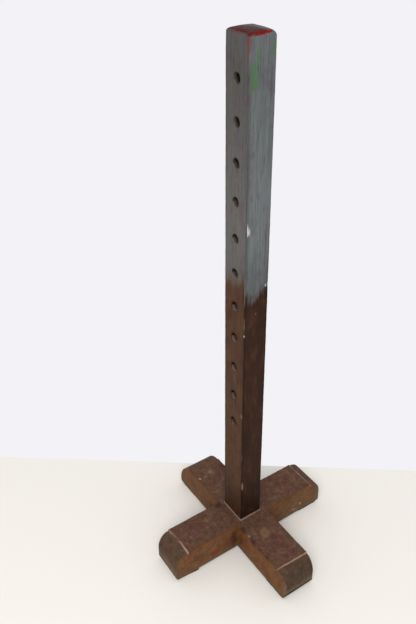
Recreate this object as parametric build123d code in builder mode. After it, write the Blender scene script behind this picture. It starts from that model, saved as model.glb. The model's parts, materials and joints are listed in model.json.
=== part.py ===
from build123d import *
import os

# Bare upright of a mug tree: a post with a row of empty peg sockets, wedged into a cross foot.
# Millimetres, +Z up. The origin is on the floor, under the post's axis.
# The sockets look to the front, -Y. The upper foot bar runs along X, the lower one along Y.

# Post: one length of hardwood with a rounded top and a through tenon at its foot
POST_HEIGHT = 807.5  # floor to the crown of the top
POST_WIDTH = 44.5  # across the socket face, along X
POST_DEPTH = 38.1  # socket face to back, along Y
POST_ARRIS = 1.2  # easing of the long edges
TOP_ROUND = 6.0  # rounded border of the top
CROWN_RISE = 2.0  # swell of the top, from its corners to its middle

# Sockets: holes bored right through for pegs, in one row down the front face
SOCKET_COUNT = 11
SOCKET_DIAMETER = 12.7
SOCKET_PITCH = 50.8
TOP_SOCKET_DROP = 53.1  # crown of the top to the centre of the highest socket

# Foot: two bars halved across each other, with a stepped, slightly oval quarter round at each end
BAR_LENGTH = 288.6
BAR_HEIGHT = 48.5
UPPER_BAR_WIDTH = 57.5
LOWER_BAR_WIDTH = 55.3
END_STEP = 2.5  # drop from the bar's top to the start of the quarter round
END_ROUND_LENGTH = 22.0  # along the arm
END_ROUND_HEIGHT = 24.5
BAR_ARRIS = 1.2  # easing of the top edges along the arms

# Tenon: spread in the lower bar by two wedges, along that bar's grain
TENON_SHOULDER = 6.0  # post face to tenon face, all round
TENON_CHEEK = 5.0  # wood outside each wedge
SAW_KERF = 1.2  # thickness of a wedge at its tip
WEDGE_BUTT = 3.4  # thickness of a wedge at its driven end

# Pads: 3/16 in felt under the arms' ends, the front one glued on askew
PAD_THICKNESS = 4.76
PAD_LENGTH = 40.0  # along the arm
PAD_MARGIN = 1.0  # bar's side to the pad's side
PAD_SETBACK = 4.2  # arm's end to the pad's outer edge
PAD_CORNER = 2.5
FRONT_PAD_SKEW = -4.7  # degrees, clockwise seen from above

# Levels and sizes that follow from these
bar_bottom = PAD_THICKNESS
bar_top = bar_bottom + BAR_HEIGHT
lap_level = bar_bottom + BAR_HEIGHT / 2
tenon_width = POST_WIDTH - 2 * TENON_SHOULDER
tenon_depth = POST_DEPTH - 2 * TENON_SHOULDER
tenon_flare = WEDGE_BUTT - SAW_KERF
top_socket = POST_HEIGHT - TOP_SOCKET_DROP
crown_reach = (POST_WIDTH**2 + POST_DEPTH**2) ** 0.5 / 2
crown_radius = (crown_reach**2 + CROWN_RISE**2) / (2 * CROWN_RISE)

# Tenon and mortise from the side: straight through the upper bar, flared through the lower one
with BuildSketch(Plane.YZ) as tenon_outline:
    with BuildLine():
        Polyline(
            (0, bar_top),
            (tenon_depth / 2, bar_top),
            (tenon_depth / 2, lap_level),
            (tenon_depth / 2 + tenon_flare, bar_bottom),
            (0, bar_bottom),
        )
        mirror(about=Plane.YZ)
    make_face()

# Wedge and its slot from the side: upright towards the core, sloped like the flared cheek
cheek_inside = tenon_depth / 2 - TENON_CHEEK
with BuildSketch(Plane.YZ) as back_wedge_outline:
    with BuildLine():
        Polyline(
            (cheek_inside - SAW_KERF, lap_level),
            (cheek_inside, lap_level),
            (cheek_inside + tenon_flare, bar_bottom),
            (cheek_inside - SAW_KERF, bar_bottom),
            close=True,
        )
    make_face()
front_wedge_outline = mirror(back_wedge_outline.sketch, about=Plane.XZ)

# Post: shaft with a crowned and rounded top, tenon slotted for the wedges, row of sockets
with BuildPart() as post:
    with BuildSketch(Plane.XY.offset(bar_top)):
        Rectangle(POST_WIDTH, POST_DEPTH)
    extrude(amount=POST_HEIGHT - bar_top)
    with BuildSketch(Plane.XZ):
        with BuildLine():
            crown = RadiusArc((0, POST_HEIGHT), (crown_reach, POST_HEIGHT - CROWN_RISE), crown_radius)
            clear = POST_HEIGHT + CROWN_RISE
            Polyline(crown @ 1, (crown_reach, clear), (0, clear), crown @ 0)
        make_face()
    revolve(axis=Axis.Z, mode=Mode.SUBTRACT)
    fillet(post.faces().sort_by(Axis.Z)[-1].edges(), TOP_ROUND)
    with BuildSketch(Plane.XY.offset(bar_top)):
        RectangleRounded(POST_WIDTH, POST_DEPTH, POST_ARRIS)
    extrude(amount=POST_HEIGHT - bar_top, mode=Mode.INTERSECT)
    extrude(tenon_outline.sketch, amount=tenon_width / 2, both=True)
    extrude(back_wedge_outline.sketch, amount=tenon_width / 2, both=True, mode=Mode.SUBTRACT)
    extrude(front_wedge_outline, amount=tenon_width / 2, both=True, mode=Mode.SUBTRACT)
    with BuildSketch(Plane.XZ):
        with Locations(*[(0, top_socket - i * SOCKET_PITCH) for i in range(SOCKET_COUNT)]):
            Circle(SOCKET_DIAMETER / 2)
    extrude(amount=POST_DEPTH / 2, both=True, mode=Mode.SUBTRACT)
post.part.label = "post"


def foot_bar_profile(plane):
    """Bar from the side: flat top, a small step down, then an oval quarter round to each upright end."""
    round_start = BAR_LENGTH / 2 - END_ROUND_LENGTH
    round_bottom = bar_top - END_STEP - END_ROUND_HEIGHT
    with BuildSketch(plane) as profile:
        with BuildLine():
            end = EllipticalCenterArc((round_start, round_bottom), END_ROUND_LENGTH, END_ROUND_HEIGHT)
            Polyline((0, bar_top), (round_start, bar_top), end @ 1)
            Polyline(end @ 0, (BAR_LENGTH / 2, bar_bottom), (0, bar_bottom))
            mirror(about=Plane.YZ)
        make_face()
    return profile.sketch


# Upper bar: along X, notched from below for the lower bar, edges kept square over the crossing
upper_profile = foot_bar_profile(Plane.XZ)
with BuildPart() as foot_bar_upper:
    extrude(upper_profile, amount=UPPER_BAR_WIDTH / 2, both=True)
    fillet(foot_bar_upper.edges().filter_by(Axis.X).group_by(Axis.Z)[-1], BAR_ARRIS)
    with BuildSketch(Plane.XY.offset(lap_level)):
        Rectangle(LOWER_BAR_WIDTH, UPPER_BAR_WIDTH)
    extrude(amount=bar_top - lap_level)
    with BuildSketch(Plane.XY.offset(bar_bottom)):
        Rectangle(LOWER_BAR_WIDTH, UPPER_BAR_WIDTH)
    extrude(amount=lap_level - bar_bottom, mode=Mode.SUBTRACT)
    extrude(tenon_outline.sketch, amount=tenon_width / 2, both=True, mode=Mode.SUBTRACT)
foot_bar_upper.part.label = "foot_bar_upper"

# Lower bar: along Y, notched from above for the upper bar
lower_profile = foot_bar_profile(Plane.YZ)
with BuildPart() as foot_bar_lower:
    extrude(lower_profile, amount=LOWER_BAR_WIDTH / 2, both=True)
    fillet(foot_bar_lower.edges().filter_by(Axis.Y).group_by(Axis.Z)[-1], BAR_ARRIS)
    with BuildSketch(Plane.XY.offset(lap_level)):
        Rectangle(LOWER_BAR_WIDTH, UPPER_BAR_WIDTH)
    extrude(amount=bar_top - lap_level, mode=Mode.SUBTRACT)
    extrude(tenon_outline.sketch, amount=tenon_width / 2, both=True, mode=Mode.SUBTRACT)
foot_bar_lower.part.label = "foot_bar_lower"

with BuildPart() as tenon_wedge_back:
    extrude(back_wedge_outline.sketch, amount=tenon_width / 2, both=True)
tenon_wedge_back.part.label = "tenon_wedge_back"

with BuildPart() as tenon_wedge_front:
    extrude(front_wedge_outline, amount=tenon_width / 2, both=True)
tenon_wedge_front.part.label = "tenon_wedge_front"

os.makedirs("parts", exist_ok=True)
export_step(post.part, "parts/post.step")
export_step(foot_bar_upper.part, "parts/foot_bar_upper.step")
export_step(foot_bar_lower.part, "parts/foot_bar_lower.step")
export_step(tenon_wedge_front.part, "parts/tenon_wedge_front.step")
export_step(tenon_wedge_back.part, "parts/tenon_wedge_back.step")

# Pads: one under each arm's end, named for the side of the post that the arm is on
pad_reach = BAR_LENGTH / 2 - PAD_SETBACK - PAD_LENGTH / 2
for side, arm_angle in {"right": 0, "back": 90, "left": 180, "front": 270}.items():
    bar_width = UPPER_BAR_WIDTH if side in ("right", "left") else LOWER_BAR_WIDTH
    skew = FRONT_PAD_SKEW if side == "front" else 0
    with BuildPart() as pad:
        with BuildSketch(Plane.XY.rotated((0, 0, arm_angle))):
            with Locations((pad_reach, 0)):
                RectangleRounded(PAD_LENGTH, bar_width - 2 * PAD_MARGIN, PAD_CORNER, rotation=skew)
        extrude(amount=PAD_THICKNESS)
    pad.part.label = f"foot_pad_{side}"
    export_step(pad.part, f"parts/foot_pad_{side}.step")
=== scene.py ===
"""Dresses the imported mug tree: painted and stained post, halved cross foot, felt pads and a bead of putty.

The file is laid out as an add-on and is run as a script. Lengths in the code are millimetres, apart from the
settings, which are metres as Blender shows them. Meshes are written in metres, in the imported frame: +Z up,
sockets towards -Y, upper foot bar along X, lower one along Y.
"""

import json
import math

import bmesh
import bpy
import numpy as np
from mathutils import Matrix, Vector


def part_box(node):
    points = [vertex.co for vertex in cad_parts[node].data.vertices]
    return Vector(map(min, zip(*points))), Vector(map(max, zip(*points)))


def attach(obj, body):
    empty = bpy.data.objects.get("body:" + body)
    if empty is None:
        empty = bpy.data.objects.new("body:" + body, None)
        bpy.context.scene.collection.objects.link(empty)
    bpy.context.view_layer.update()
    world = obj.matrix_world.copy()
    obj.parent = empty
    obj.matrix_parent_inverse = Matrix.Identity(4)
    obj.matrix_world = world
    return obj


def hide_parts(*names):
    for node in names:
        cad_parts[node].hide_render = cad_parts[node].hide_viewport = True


bl_info = {
    "name": "Bare mug tree",
    "version": (1, 0, 0),
    "blender": (4, 5, 0),
    "location": "View3D > Sidebar > Mug Tree",
    "description": "Dresses the post, cross foot and felt pads of a bare mug tree",
    "category": "Object",
}

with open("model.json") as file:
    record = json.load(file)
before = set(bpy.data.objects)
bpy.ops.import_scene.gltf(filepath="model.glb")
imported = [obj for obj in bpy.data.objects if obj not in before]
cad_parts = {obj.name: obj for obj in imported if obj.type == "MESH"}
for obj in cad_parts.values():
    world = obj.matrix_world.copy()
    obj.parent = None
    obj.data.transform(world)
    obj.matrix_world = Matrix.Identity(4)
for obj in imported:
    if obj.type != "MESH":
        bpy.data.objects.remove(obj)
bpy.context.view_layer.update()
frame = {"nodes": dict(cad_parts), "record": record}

MM = 1000.0  # millimetres in a metre
BODY = "root"


def node_box(name):
    """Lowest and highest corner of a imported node, in millimetres."""
    return [np.array(corner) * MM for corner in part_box(name)]


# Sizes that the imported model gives
post_high = node_box("post")[1]
upper_low, upper_high = node_box("foot_bar_upper")
lower_high = node_box("foot_bar_lower")[1]
wedge_low, wedge_high = node_box("tenon_wedge_back")
sockets = [mount for mount in frame["record"]["mounts"] if mount["kind"] == "bore"]
socket_levels = np.sort([mount["pos_m"][2] * MM for mount in sockets])
socket_radius = sockets[0]["dims"]["r_mm"]
post_half, post_top = post_high[:2], post_high[2]
bar_bottom, bar_top = upper_low[2], upper_high[2]
bar_reach = upper_high[0]
upper_half, lower_half = upper_high[1], lower_high[0]
lap_level = wedge_high[2]

# Joint sizes, as in the solids: the tenon's shoulder and flare, and the slots that the wedges fill
TENON_SHOULDER = 6.0
SAW_KERF = 1.2
tenon_half = post_half - TENON_SHOULDER
tenon_flare = wedge_high[1] - wedge_low[1] - SAW_KERF

# Fineness of the meshes
ROW_STEP = 2.0  # rows up the post between the sockets
POST_COLUMNS = (6, 22)  # beside a socket's square on the front and back, and across a plain side
NECK_ROWS = 20  # from the highest socket's square to the rounding of the top
TOP_ROWS = 8  # over that rounding, and again from there to the middle of the top
SOCKET_ZONE = 11.0  # half the side of the square of face that a socket's rings fill
ZONE_STEPS = 12  # along a side of that square
FACE_SHARES = (0.0, 0.3, 0.6, 0.85)  # rings on the face, from the square to the socket's mouth
BORE_DEPTHS = (1.6, 2.3, 3.4, 4.5, 5.5, 7, 11, 15)  # rings down a bore, from either face
ARC_STEPS = 4  # round a worn edge
ROUND_STEPS = 12  # round a moulded end
ARM_STEP = 2.5  # along an arm
MORTISE_STEPS = 2  # along a bar, from its middle to the mortise's end
CROSSING_STEPS = 5  # from there to the edge of the crossing
MORTISE_COLUMNS = 10  # across the mortise
TOP_COLUMNS = 7  # from the mortise's side to the bar's worn edge
SIDE_ROWS = 13  # up a bar's side
BEAD_STEPS = 5  # over the putty bead
BEAD_COLUMNS, FELT_COLUMNS = (12, 12), (20, 20)  # along the sides of the bead's and the pads' plans
MERGE_GAP, LEAST_EDGE = 2e-6, 1e-7  # metres: points closer than this are merged, shorter edges dissolved
TINY = 1e-6  # keeps a comparison or a division safe from rounding
SEAM = 0.1  # gap left at each side of the halving joint

# Angles over which an edge is drawn sharp, in degrees
SHARP_WOOD, SHARP_SOFT = 40, 50

# Seeds of the wear on the post's edges, the sockets' lips, the paint's hidden edges, the bead and the pads
EDGE_SEED, LIP_SEED, PAINT_SEED, BEAD_SEED, PAD_SEED = 0, 40, 3, 7, 20


def colour(text):
    """Linear colour with full alpha from an sRGB hex value."""
    channels = [int(text[i : i + 2], 16) / 255 for i in (1, 3, 5)]
    linear = [c / 12.92 if c <= 0.04045 else ((c + 0.055) / 1.055) ** 2.4 for c in channels]
    return (*linear, 1.0)


def length_setting(name, description, metres):
    """A length that a user may change."""
    return bpy.props.FloatProperty(
        name=name, description=description, default=metres, min=0.0, precision=4, subtype="DISTANCE"
    )


def colour_setting(name, description, text):
    """A colour that a user may change."""
    return bpy.props.FloatVectorProperty(
        name=name, description=description, default=colour(text), size=4, min=0.0, max=1.0, subtype="COLOR"
    )


class PostSettings(bpy.types.PropertyGroup):
    """Sizes and colours of the post."""

    arris: length_setting("Arris", "Easing of the long edges", 0.0009)
    arris_wear: length_setting("Arris wear", "How far the easing grows and shrinks along an edge", 0.0004)
    top_round: length_setting("Top round", "Radius of the rounded border of the top", 0.006)
    crown_rise: length_setting("Crown", "Swell of the top from its corners to its middle", 0.002)
    socket_lip: length_setting("Socket lip", "Worn rounding of the sockets' edges", 0.001)
    stain_front: colour_setting("Stain, front", "Brown stain on the socket face and the back", "#4c3321")
    stain_side: colour_setting("Stain, sides", "Darker brown stain on the plain sides", "#321d12")
    stain_red: colour_setting("Stain, red", "Reddish patches in the stain", "#48221a")
    stain_olive: colour_setting("Stain, olive", "Olive patches in the stain", "#453722")
    paint_front: colour_setting("Paint, front", "Grey paint on the socket face and the back", "#5f5c5b")
    paint_side: colour_setting("Paint, sides", "Cooler grey paint on the plain sides", "#66696c")
    red_paint: colour_setting("Red paint", "Red along the top's border", "#740a09")
    green_paint: colour_setting("Green paint", "Green smear near the top", "#3c7634")
    rubbed: colour_setting("Rubbed edge", "Pale wood where an edge is rubbed bare", "#9a8a78")
    bare_chip: colour_setting("Chips", "Pale chips where the finish is gone", "#c4c6c6")
    bore: colour_setting("Bores", "Bare wood inside the sockets", "#7a6b62")
    rust: colour_setting("Rusty drip", "Dull brown run down the front edge", "#70463e")
    top_grime: colour_setting("Top grime", "Dark reddish brown on the top", "#4c201d")


class FootSettings(bpy.types.PropertyGroup):
    """Sizes and colours of the cross foot and of the putty at the post's base."""

    arris: length_setting("Arris", "Worn rounding of the arms' top edges", 0.0014)
    step: length_setting("End step", "Drop from the bar's top to the start of the moulded end", 0.0025)
    round_length: length_setting("Round length", "Length of the moulded end along the arm", 0.022)
    round_height: length_setting("Round height", "Height of the moulded end", 0.0245)
    worn_length: length_setting("Worn length", "Length of the more worn round of the left end", 0.035)
    worn_height: length_setting("Worn height", "Height of the more worn round of the left end", 0.039)
    foot_round: length_setting("Foot round", "Worn rounding under the moulded end", 0.0025)
    bead: length_setting("Bead", "Width of the putty bead at the post's base", 0.0017)
    stain_top: colour_setting("Stain, top", "Dark brown stain on the arms' tops", "#573e2f")
    stain_red: colour_setting("Stain, red", "Reddish patches in the stain", "#56342b")
    stain_grey: colour_setting("Stain, grey", "Rubbed grey-brown patches in the stain", "#6b5948")
    stain_side: colour_setting("Stain, sides", "Honey brown on the arms' sides", "#6a4327")
    stain_end: colour_setting("Stain, ends", "Olive brown on the moulded ends", "#4c3b2e")
    rubbed: colour_setting("Rubbed", "Olive-brown where the stain is rubbed thin", "#745641")
    ochre: colour_setting("Ochre", "Yellow-brown patches on the sides", "#7a5a30")
    olive: colour_setting("Olive", "Olive grime along the lower borders", "#635640")
    red_stain: colour_setting("Red stain", "Small red stains on the arms' sides", "#6c311d")
    dirt: colour_setting("Dirt", "Dark stains and dirt in the corners", "#2a1d16")
    bare_line: colour_setting("Bare line", "Pale bare wood along the moulding's step", "#9e8876")
    putty: colour_setting("Putty", "Pale bead round the post's base", "#7a6556")


class FeltSettings(bpy.types.PropertyGroup):
    """Sizes and colours of the felt pads and the wedges."""

    corner: length_setting("Corner", "Radius of a pad's corners", 0.0025)
    edge_swell: length_setting("Edge swell", "How far a pad's edge swells out at half its thickness", 0.0006)
    front_skew: bpy.props.FloatProperty(
        name="Front skew",
        description="Turn of the front pad, which is glued on askew",
        default=math.radians(-4.7),
        subtype="ANGLE",
    )
    felt: colour_setting("Felt", "Dull blue-green pressed felt", "#26302e")
    dust: colour_setting("Dust", "Brown dust on the felt's edges", "#5d4632")
    wedge_wood: colour_setting("Wedge wood", "Bare sawn hardwood", "#8d6a46")


class StageSettings(bpy.types.PropertyGroup):
    """Lights, floor and background."""

    floor: colour_setting("Floor", "Plain cream floor", "#eee9e0")
    background: colour_setting("Background", "Plain white beyond the floor", "#f3f2f6")
    surround: colour_setting("Surround", "Pale light from all round", "#f4f6fa")
    key_power: bpy.props.FloatProperty(
        name="Key power", description="Power of the large soft lamp", default=44.0, min=0.0, unit="POWER"
    )
    surround_strength: bpy.props.FloatProperty(
        name="Surround strength", description="Strength of the light from all round", default=0.8, min=0.0
    )


def ripple(along, wavelengths, seed):
    """Mean of one sine for each wavelength, with seeded phases, so it stays within -1 and 1."""
    phases = np.random.default_rng(seed).uniform(0, 2 * np.pi, len(wavelengths))
    return np.mean([np.sin(2 * np.pi * along / w + p) for w, p in zip(wavelengths, phases)], axis=0)


def smooth(low, high, value):
    """Smoothstep from 0 at low to 1 at high."""
    share = np.clip((value - low) / (high - low), 0, 1)
    return share * share * (3 - 2 * share)


def bell(distance, width):
    """Bell curve: exp(-(distance / width)^2), so 1 in its middle."""
    return np.exp(-((distance / width) ** 2))


def blots(place, marks):
    """Strongest of several soft blots at each place.

    A blot has a centre, radii and a strength. Within its radii it is strength * (1 - d^2), where d is the
    distance from its centre counted in radii, and outside them it is 0.
    """
    fields = [s * (1 - np.sum(((place - np.array(c)) / np.array(r)) ** 2, axis=-1)) for c, r, s in marks]
    return np.clip(np.max(fields, axis=0), 0, 1)


class Shell:
    """Grids of points in millimetres and their faces, gathered into one closed mesh."""

    def __init__(self):
        self.points, self.faces, self.count = [], [], 0

    def add(self, points):
        """Adds points and gives back their index, in the same shape."""
        flat = points.reshape(-1, 3)
        index = np.arange(len(flat)).reshape(points.shape[:-1]) + self.count
        self.points.append(flat)
        self.count += len(flat)
        return index

    def quads(self, index, keep=None):
        """Quads between neighbouring rows and columns of an index grid, where keep is true."""
        corners = (index[:-1, :-1], index[:-1, 1:], index[1:, 1:], index[1:, :-1])
        faces = np.stack(corners, axis=-1)
        self.faces += (faces if keep is None else faces[keep]).reshape(-1, 4).tolist()

    def tube(self, index, keep=None):
        """Quads of an index grid whose last column joins its first."""
        self.quads(np.concatenate((index, index[:, :1]), axis=1), keep)

    def build(self, name, sharp_angle):
        """Object with doubles merged, faces turned outwards, and edges sharper than the angle kept sharp."""
        mesh = bpy.data.meshes.new(name)
        mesh.from_pydata(np.concatenate(self.points) / MM, [], self.faces)
        work = bmesh.new()
        work.from_mesh(mesh)
        bmesh.ops.remove_doubles(work, verts=work.verts, dist=MERGE_GAP)
        bmesh.ops.dissolve_degenerate(work, edges=work.edges, dist=LEAST_EDGE)
        bmesh.ops.recalc_face_normals(work, faces=work.faces)
        work.to_mesh(mesh)
        work.free()
        mesh.shade_smooth()
        mesh.set_sharp_from_angle(angle=math.radians(sharp_angle))
        piece = bpy.data.objects.new(name, mesh)
        bpy.context.scene.collection.objects.link(piece)
        return piece


def mesh_places(piece):
    """Places in millimetres and normals of a piece's vertices, as two arrays."""
    count = len(piece.data.vertices)
    places, normals = np.empty(count * 3, np.float32), np.empty(count * 3, np.float32)
    piece.data.vertices.foreach_get("co", places)
    piece.data.vertex_normals.foreach_get("vector", normals)
    return places.reshape(-1, 3) * MM, normals.reshape(-1, 3)


def set_attribute(piece, name, columns):
    """Keeps three numbers for each vertex, which the piece's material reads."""
    values = np.stack(np.broadcast_arrays(*columns), axis=-1).astype(np.float32)
    attribute = piece.data.attributes.new(name, "FLOAT_VECTOR", "POINT")
    attribute.data.foreach_set("vector", values.ravel())


class Ring:
    """Columns round a rounded rectangle: the front, right, back and left face, each with the corner after it.

    A column's place is linear in its corner's radius r: base + slope * r. On a face, along = share * (half
    length - r). On a corner's arc, at turn t, along = half length + (sin t - 1) * r and outwards = half depth
    + (cos t - 1) * r. With a zone, the front and back keep even columns across it, whatever the radius.
    """

    def __init__(self, half, steps, zone=None):
        turn = np.linspace(0, np.pi / 2, ARC_STEPS + 1)[1:-1]
        bases, slopes, corners, self.middles = [], [], [], []
        for face in range(4):
            run, out = half[face % 2], half[1 - face % 2]
            share = np.linspace(-1, 1, steps[face % 2] + 1)
            along, give = share * run, -share
            if zone and face % 2 == 0:
                side = np.linspace(0, 1, steps[0] + 1)
                middle = np.linspace(-zone, zone, ZONE_STEPS + 1)[1:-1]
                beyond = zone + side * (run - zone)
                along = np.concatenate((-beyond[::-1], middle, beyond))
                give = np.concatenate((side[::-1], 0 * middle, -side))
            arc = np.ones(len(turn))
            base = np.stack((np.append(along, run * arc), np.full(len(along) + len(arc), out)), 1)
            slope = np.stack((np.append(give, np.sin(turn) - 1), np.append(0 * along, np.cos(turn) - 1)), 1)
            angle = face * np.pi / 2
            axes = np.array([[np.cos(angle), np.sin(angle)], [np.sin(angle), -np.cos(angle)]])
            self.middles.append(sum(map(len, bases)) + len(along) + len(arc) // 2)
            bases.append(base @ axes)
            slopes.append(slope @ axes)
            corners.append(np.where(base[:, 0] < 0, face - 1, face) % 4)
        self.base, self.slope, self.corner = map(np.concatenate, (bases, slopes, corners))

    def plan(self, radii):
        """Places of the columns, for the four corners' radii on each row."""
        return self.base + self.slope * radii[..., self.corner][..., None]


# Wear of the post's long edges: hollows at the front right (0) and back right (1) corner, as (corner, level,
# reach, depth)
EDGE_HOLLOWS = [(0, 571, 8, 0.9), (0, 128, 8, 0.8), (1, 482, 5, 1.0), (0, 777, 2.5, 0.8), (0, 267, 4, 0.4)]
EDGE_WAVES = (170, 67, 29, 13)  # wavelengths of the ripples along an edge
TOP_EASING, TOP_EASING_REACH = 0.5, 40  # how much the radius grows towards the top, and over which length

# Rounding of the top as the hand left it: shares taken from its radius on the left and added at the back
LEFT_TIGHTER, BACK_WIDER = 0.4, 0.05

# Wear of the sockets' lips, in shares of the set lip: uneven, more on the left, and most at the bottom
LIP_UNEVEN, LIP_LEFT, LIP_BOTTOM, LIP_LEAST = 0.35, 0.5, 1.6, 0.25
LIP_WAVES = (2 * np.pi, np.pi, np.pi / 2)  # wavelengths of the uneven wear round a mouth
LOW_LIP_BOTTOM, LOW_LIPS = 0.8, (500, 420)  # more at the bottom of low sockets, and levels where it sets in


def post_radii(levels, settings):
    """Radius of each corner's edge at each level: even easing, slow ripples and a hollow at each worn place.

    A hollow adds depth * exp(-((level - its level) / reach)^2).
    """
    waves = np.stack([ripple(levels, EDGE_WAVES, EDGE_SEED + corner) for corner in range(4)], -1)
    radii = settings.arris * MM + settings.arris_wear * MM * waves
    for corner, level, reach, depth in EDGE_HOLLOWS:
        radii[:, corner] += depth * bell(levels - level, reach)
    return radii + TOP_EASING * smooth(post_top - TOP_EASING_REACH, post_top, levels)[:, None]


def post_shaft(shell, settings):
    """Shaft and top in one grid: rounded-rectangle rows carried up, then drawn in over the rounded crown.

    Top: inset = R * (1 - cos t), level = crown(x, y) - R * (1 - sin t), for t from 0 to a quarter turn, then
    rows scaled to the middle. Crown: top level - rise * (x^2 + y^2) / (half width^2 + half depth^2). R is
    clearly smaller along the left edge, and a touch larger along the back one.
    Quads across the sockets' squares are left out. Gives the ring and the index of its bottom row.
    """
    ring = Ring(post_half, POST_COLUMNS, SOCKET_ZONE)
    bounds = [bar_top, *np.ravel([(z - SOCKET_ZONE, z + SOCKET_ZONE) for z in socket_levels])]
    counts = [math.ceil((b - a) / ROW_STEP) for a, b in zip(bounds, bounds[1:])]
    counts[1::2] = [ZONE_STEPS] * len(socket_levels)
    levels = [np.linspace(a, b, n, endpoint=False) for a, b, n in zip(bounds, bounds[1:], counts)]
    zone_rows = np.cumsum(counts)[:-1:2]

    def crown(xy):
        """Level of the crown."""
        return post_top - settings.crown_rise * MM * np.sum(xy**2, axis=-1) / np.sum(post_half**2)

    side = ring.base / post_half
    left, rear = smooth(0.5, 1, -side[:, 0]), smooth(0.5, 1, side[:, 1])
    round_radius = settings.top_round * MM * (1 - LEFT_TIGHTER * left + BACK_WIDER * rear)
    neck = np.linspace(0, 1, NECK_ROWS)
    neck_levels = bounds[-1] + neck * (post_top - settings.top_round * MM - bounds[-1])
    levels = np.concatenate(levels)
    plan = ring.plan(post_radii(np.append(levels, neck_levels), settings))
    lifted = bounds[-1] + neck[:, None] * (crown(plan[-1]) - round_radius - bounds[-1])
    height = np.concatenate((np.repeat(levels[:, None], len(side), axis=1), lifted))

    quarter = np.linspace(0, np.pi / 2, TOP_ROWS + 1)[1:]
    turn = np.append(quarter, np.full(TOP_ROWS, np.pi / 2))[:, None]
    shrink = np.append(np.ones(TOP_ROWS), np.linspace(1, 0, TOP_ROWS + 1)[1:])[:, None, None]
    caps = plan[-1] * (1 - (round_radius * (1 - np.cos(turn)))[..., None] / post_half) * shrink
    plan = np.concatenate((plan, caps))
    height = np.concatenate((height, crown(caps) - round_radius * (1 - np.sin(turn))))

    index = shell.add(np.concatenate((plan, height[..., None]), axis=-1))
    keep = np.ones((len(plan) - 1, len(side)), bool)
    columns = np.flatnonzero((np.abs(ring.base[:, 0]) <= SOCKET_ZONE + TINY) & (ring.slope[:, 0] == 0))
    for wall in np.split(columns, 2):
        for first in zone_rows:
            keep[first : first + ZONE_STEPS, wall[:-1]] = False
    shell.tube(index, keep)
    return ring, index[0]


def post_sockets(shell, settings):
    """Sockets bored right through: each is one grid from a square of the front face to one of the back face.

    A ring's place = (1 - t) * square + t * circle, with t from 0 to 1 across the face. Over the worn lip, at
    turn a, the circle's radius = R + lip * (1 - sin a) and its depth = lip * (1 - cos a). At angle b round
    the mouth, lip = set lip * (1 + uneven - left * cos b + bottom * sin^2 b), with the last term in the lower
    half only.
    """
    step = np.linspace(-SOCKET_ZONE, SOCKET_ZONE, ZONE_STEPS + 1)[:-1]
    far = np.full(ZONE_STEPS, SOCKET_ZONE)
    across, up = np.concatenate((step, far, -step, -far)), np.concatenate((-far, step, far, -step))
    square = np.stack((across, up), -1)
    angle = np.arctan2(up, across)
    circle = np.stack((np.cos(angle), np.sin(angle)), -1)
    lower = np.maximum(0, -np.sin(angle)) ** 2
    share = np.array(FACE_SHARES)[:, None, None]
    turn = np.linspace(0, np.pi / 2, ARC_STEPS + 1)[:, None]
    deep = post_half[1] - np.array(BORE_DEPTHS)
    bore = np.concatenate((-deep, deep[::-1]))[:, None] + 0 * angle
    flat = np.full((len(share), len(angle)), post_half[1])
    for number, level in enumerate(socket_levels):
        uneven = LIP_UNEVEN * ripple(angle, LIP_WAVES, LIP_SEED + number)
        bottom = LIP_BOTTOM + LOW_LIP_BOTTOM * smooth(*LOW_LIPS, level)
        worn = 1 + uneven - LIP_LEFT * np.cos(angle) + bottom * lower
        lip = settings.socket_lip * MM * np.maximum(LIP_LEAST, worn)
        mouth = circle * (socket_radius + lip * (1 - np.sin(turn)))[..., None]
        sunk = post_half[1] - lip * (1 - np.cos(turn))
        face = (1 - share) * square + share * mouth[0]
        tube = np.broadcast_to(circle * socket_radius, (len(bore), *circle.shape))
        plan = np.concatenate((face, mouth, tube, mouth[::-1], face[::-1]))
        depth = np.concatenate((-flat, -sunk, bore, sunk[::-1], flat))
        shell.tube(shell.add(np.stack((plan[..., 0], depth, plan[..., 1] + level), axis=-1)))


def post_tenon(shell, ring, rim):
    """Shoulder and tenon: four faces run in from the shaft's bottom row to the tenon's top.

    The tenon is its slotted side outline, carried straight across.
    """
    half_side = np.array([
        (tenon_half[1], bar_top),
        (tenon_half[1], lap_level),
        (tenon_half[1] + tenon_flare, bar_bottom),
        (wedge_high[1], bar_bottom),
        (wedge_low[1] + SAW_KERF, lap_level),
        (wedge_low[1], lap_level),
        (wedge_low[1], bar_bottom),
    ])
    side = np.concatenate((half_side, half_side[::-1] * (-1, 1)))
    across = np.array([-tenon_half[0], tenon_half[0]])
    index = shell.add(np.stack(np.broadcast_arrays(across, side[:, :1], side[:, 1:]), -1))
    shell.quads(index)
    shell.faces += [index[:, 0].tolist(), index[::-1, 1].tolist()]
    inner = [index[-1, 1], index[0, 1], index[0, 0], index[-1, 0]]
    for face in range(4):
        first, last = ring.middles[face - 1], ring.middles[face]
        run = np.arange(first - (len(rim) if face == 0 else 0), last + 1)
        shell.faces.append([*rim[run].tolist(), inner[face], inner[face - 1]])


# Worn step of a moulded end, along the arm from the step's line, and the start of the round after it
RISER_ALONG = (-0.9, -0.25, 0.15)
RISER_EASING, RISER_SHARE = 0.3, 0.85  # drop at its second place, and share of the step's drop at its third
ROUND_START = 0.7
FACE_ROWS = 6  # down the upright face under the round
LEAN_FADE = 30  # length of arm, inwards of a step, over which the step's lean fades out

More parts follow.
